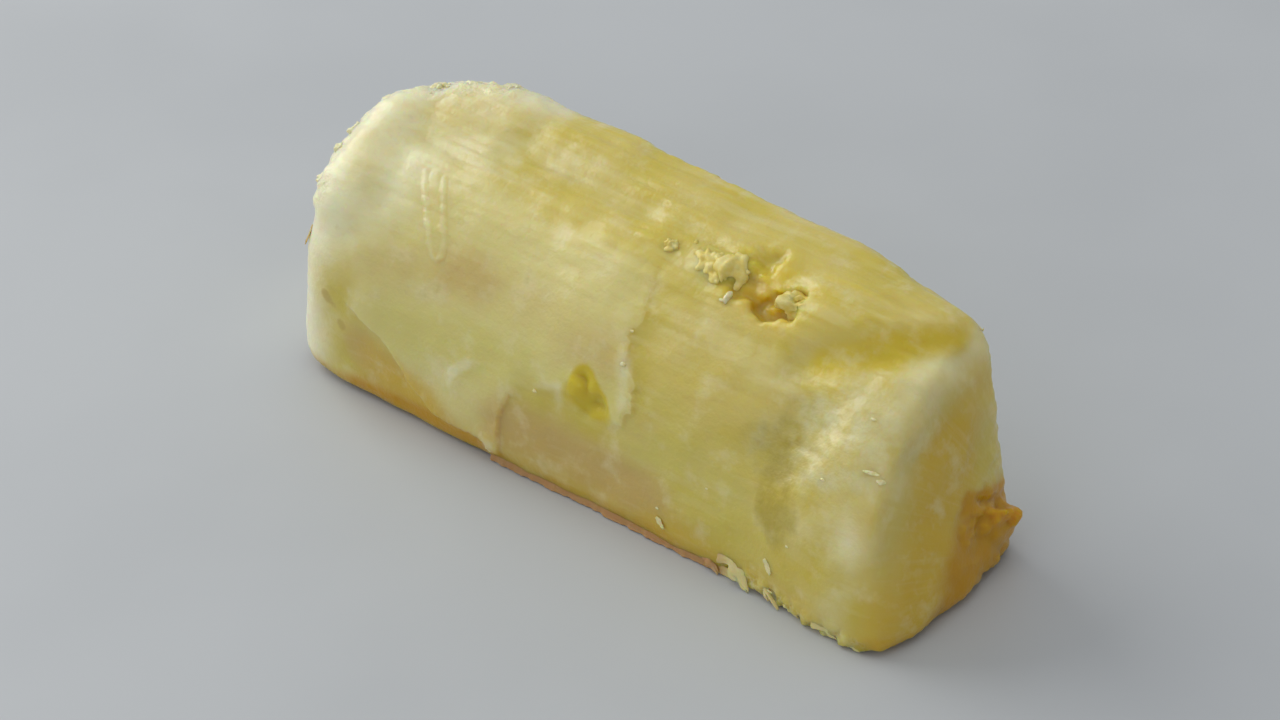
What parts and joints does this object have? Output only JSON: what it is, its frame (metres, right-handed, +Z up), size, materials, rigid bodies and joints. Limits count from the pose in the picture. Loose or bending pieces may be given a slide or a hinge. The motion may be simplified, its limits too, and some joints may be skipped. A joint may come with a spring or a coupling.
{
  "type": "boiled cassava root piece",
  "caption": "Boiled, peeled cassava root piece: a quarter split lengthwise and cut at both ends, with clinging film, torn edges and a pit. Lies on its flat split side.",
  "frame": {"origin": "under the middle of the piece's bounding box, on the surface that it lies on", "axes": "+X along the root to its knife-cut end, +Z up, -Y to the front where the round outer side faces"},
  "size_m": [0.1058, 0.0348, 0.0371],
  "materials": {
    "boiled_flesh": "wet, starchy, slightly translucent flesh"
  },
  "bodies": {
    "root": {"cassava_piece": "boiled_flesh"}
  },
  "joints": []
}
